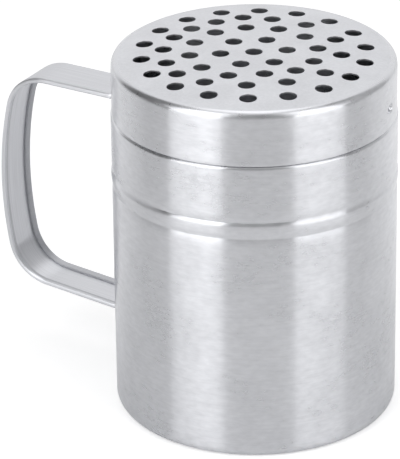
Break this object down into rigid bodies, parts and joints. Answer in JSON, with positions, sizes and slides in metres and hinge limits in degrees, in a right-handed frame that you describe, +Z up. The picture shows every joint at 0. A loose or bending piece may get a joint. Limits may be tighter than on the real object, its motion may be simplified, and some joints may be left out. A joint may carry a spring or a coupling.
{
  "type": "spice shaker",
  "caption": "Cylindrical sheet-metal spice shaker with a rolled bead, a lift-off lid punched with sprinkling holes and a looped strap handle.",
  "frame": {"origin": "centre of the base, on the surface that the shaker stands on", "axes": "+Z up along the cup's axis, -X towards the handle"},
  "size_m": [0.1065, 0.0704, 0.0927],
  "materials": {
    "cup_steel": "satin stainless steel, brushed round the wall",
    "lid_steel": "satin stainless steel, brushed round the skirt and softer on the top",
    "handle_steel": "satin stainless steel strap, brushed along its length"
  },
  "bodies": {
    "cup": {"cup": "cup_steel", "handle": "handle_steel"},
    "lid": {"lid": "lid_steel"}
  },
  "joints": [
    {"name": "lid_lift", "type": "slide", "parent": "cup", "child": "lid", "axis": [0, 0, 1], "range_m": [0, 0.05]}
  ]
}
